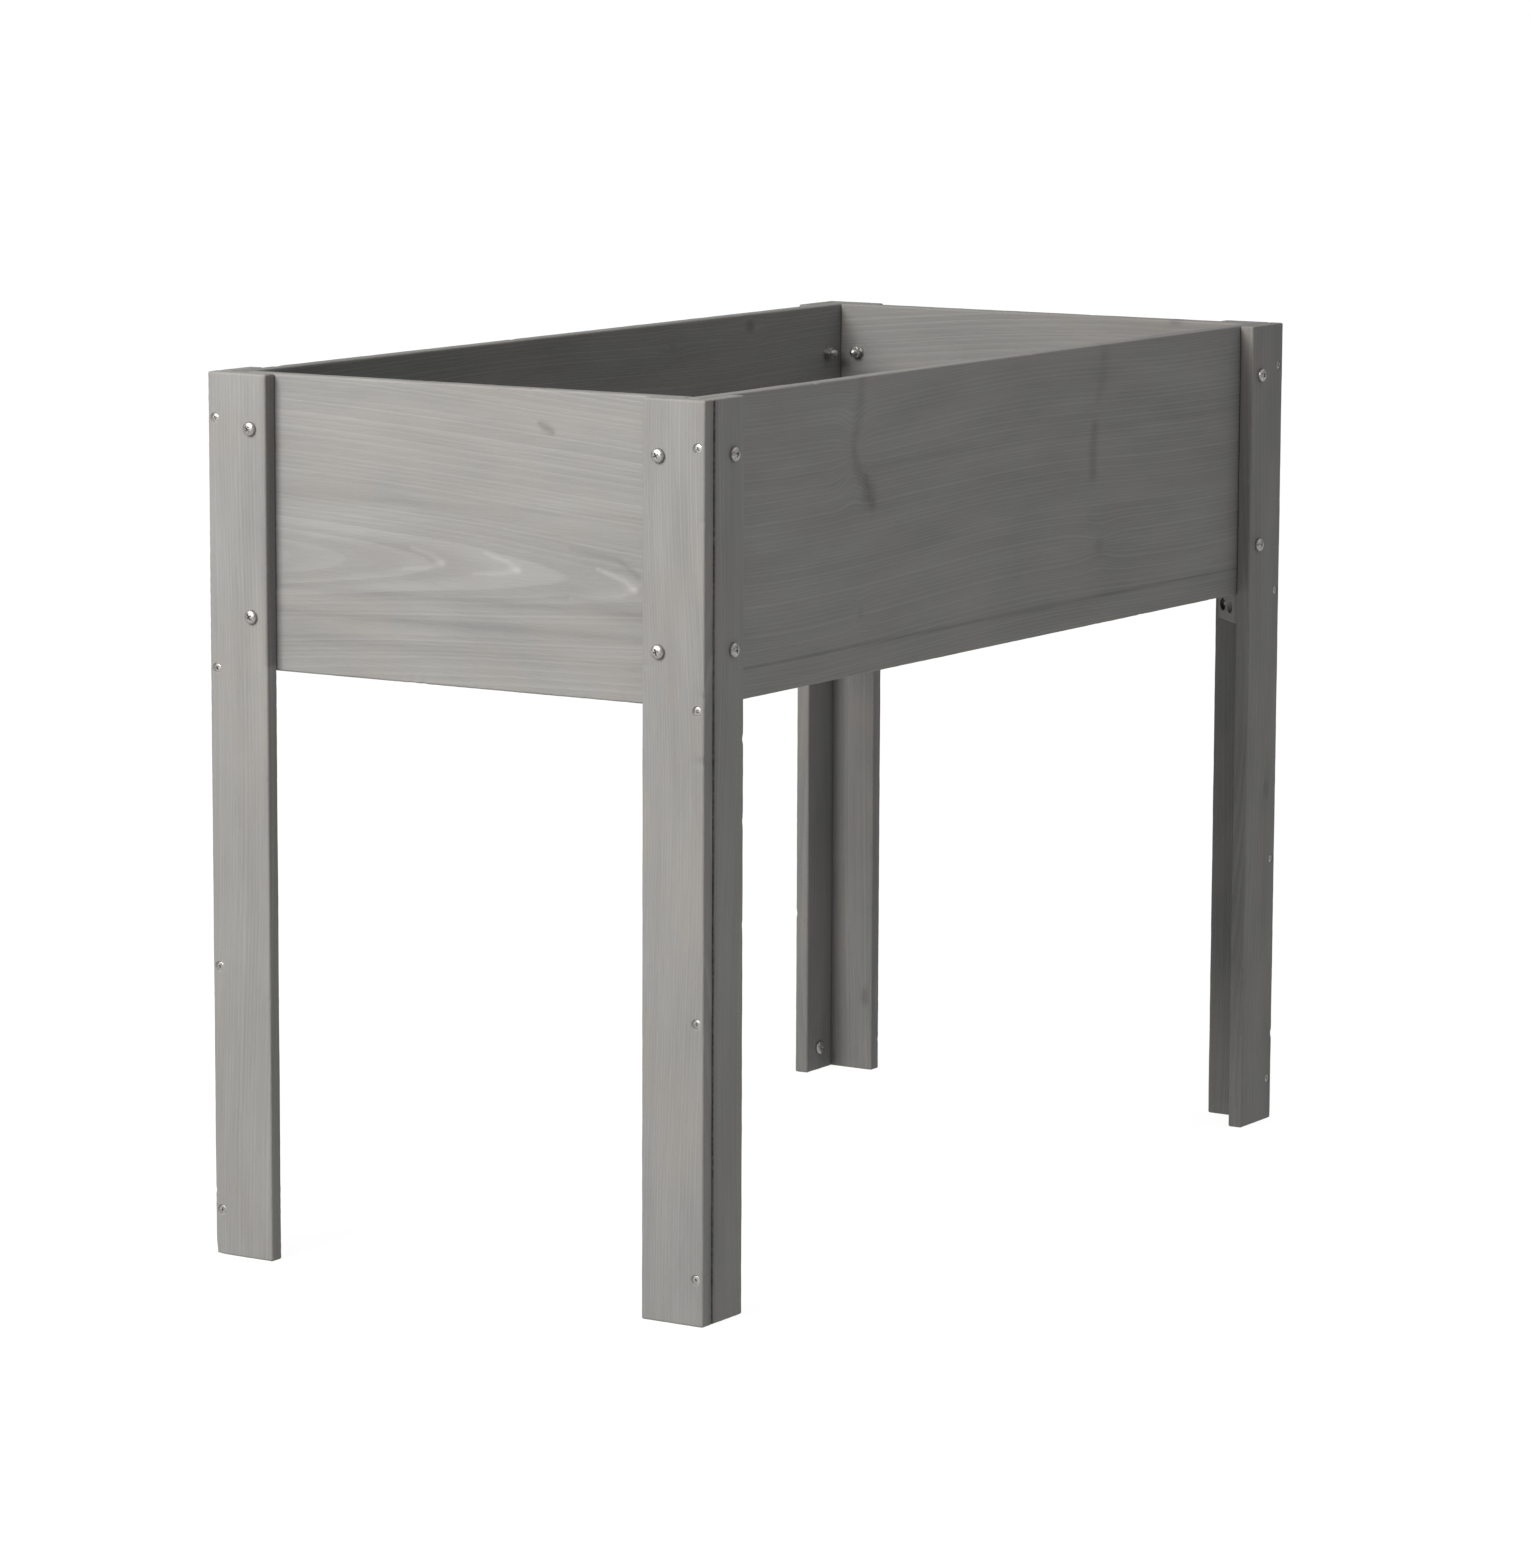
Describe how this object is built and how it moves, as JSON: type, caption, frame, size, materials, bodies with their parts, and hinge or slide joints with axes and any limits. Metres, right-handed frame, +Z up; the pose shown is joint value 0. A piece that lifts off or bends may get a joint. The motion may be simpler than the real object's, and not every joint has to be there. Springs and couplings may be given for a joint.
{
  "type": "raised planter on legs",
  "caption": "Rectangular wooden planter box raised on L-shaped board legs, with bolted panels, corner blocks and a slatted floor, open at the top for soil.",
  "frame": {"origin": "on the ground, below the middle of the box", "axes": "+Z up, +X along the length of the box, +Y across it"},
  "size_m": [1.0084, 0.5024, 0.755],
  "materials": {
    "stained_wood": "thin translucent grey stain, matt",
    "zinc_steel": "bright zinc plated"
  },
  "bodies": {
    "root": {"floor_slat_1": "stained_wood", "floor_slat_2": "stained_wood", "floor_slat_3": "stained_wood", "floor_slat_4": "stained_wood", "floor_slat_5": "stained_wood", "floor_slat_6": "stained_wood", "floor_slat_7": "stained_wood", "front_batten_screws": "zinc_steel", "front_floor_batten": "stained_wood", "front_left_block_screws": "zinc_steel", "front_left_corner_block": "stained_wood", "front_left_leg_end_board": "stained_wood", "front_left_leg_screws": "zinc_steel", "front_left_leg_side_board": "stained_wood", "front_left_nuts": "zinc_steel", "front_left_panel_bolts": "zinc_steel", "front_left_washers": "zinc_steel", "front_panel": "stained_wood", "front_right_block_screws": "zinc_steel", "front_right_corner_block": "stained_wood", "front_right_leg_end_board": "stained_wood", "front_right_leg_screws": "zinc_steel", "front_right_leg_side_board": "stained_wood", "front_right_nuts": "zinc_steel", "front_right_panel_bolts": "zinc_steel", "front_right_washers": "zinc_steel", "front_slat_screws": "zinc_steel", "left_end_panel": "stained_wood", "rear_batten_screws": "zinc_steel", "rear_floor_batten": "stained_wood", "rear_left_block_screws": "zinc_steel", "rear_left_corner_block": "stained_wood", "rear_left_leg_end_board": "stained_wood", "rear_left_leg_screws": "zinc_steel", "rear_left_leg_side_board": "stained_wood", "rear_left_nuts": "zinc_steel", "rear_left_panel_bolts": "zinc_steel", "rear_left_washers": "zinc_steel", "rear_panel": "stained_wood", "rear_right_block_screws": "zinc_steel", "rear_right_corner_block": "stained_wood", "rear_right_foot_screw": "zinc_steel", "rear_right_leg_end_board": "stained_wood", "rear_right_leg_screws": "zinc_steel", "rear_right_leg_side_board": "stained_wood", "rear_right_nuts": "zinc_steel", "rear_right_panel_bolts": "zinc_steel", "rear_right_washers": "zinc_steel", "rear_slat_screws": "zinc_steel", "right_end_panel": "stained_wood"}
  },
  "joints": []
}
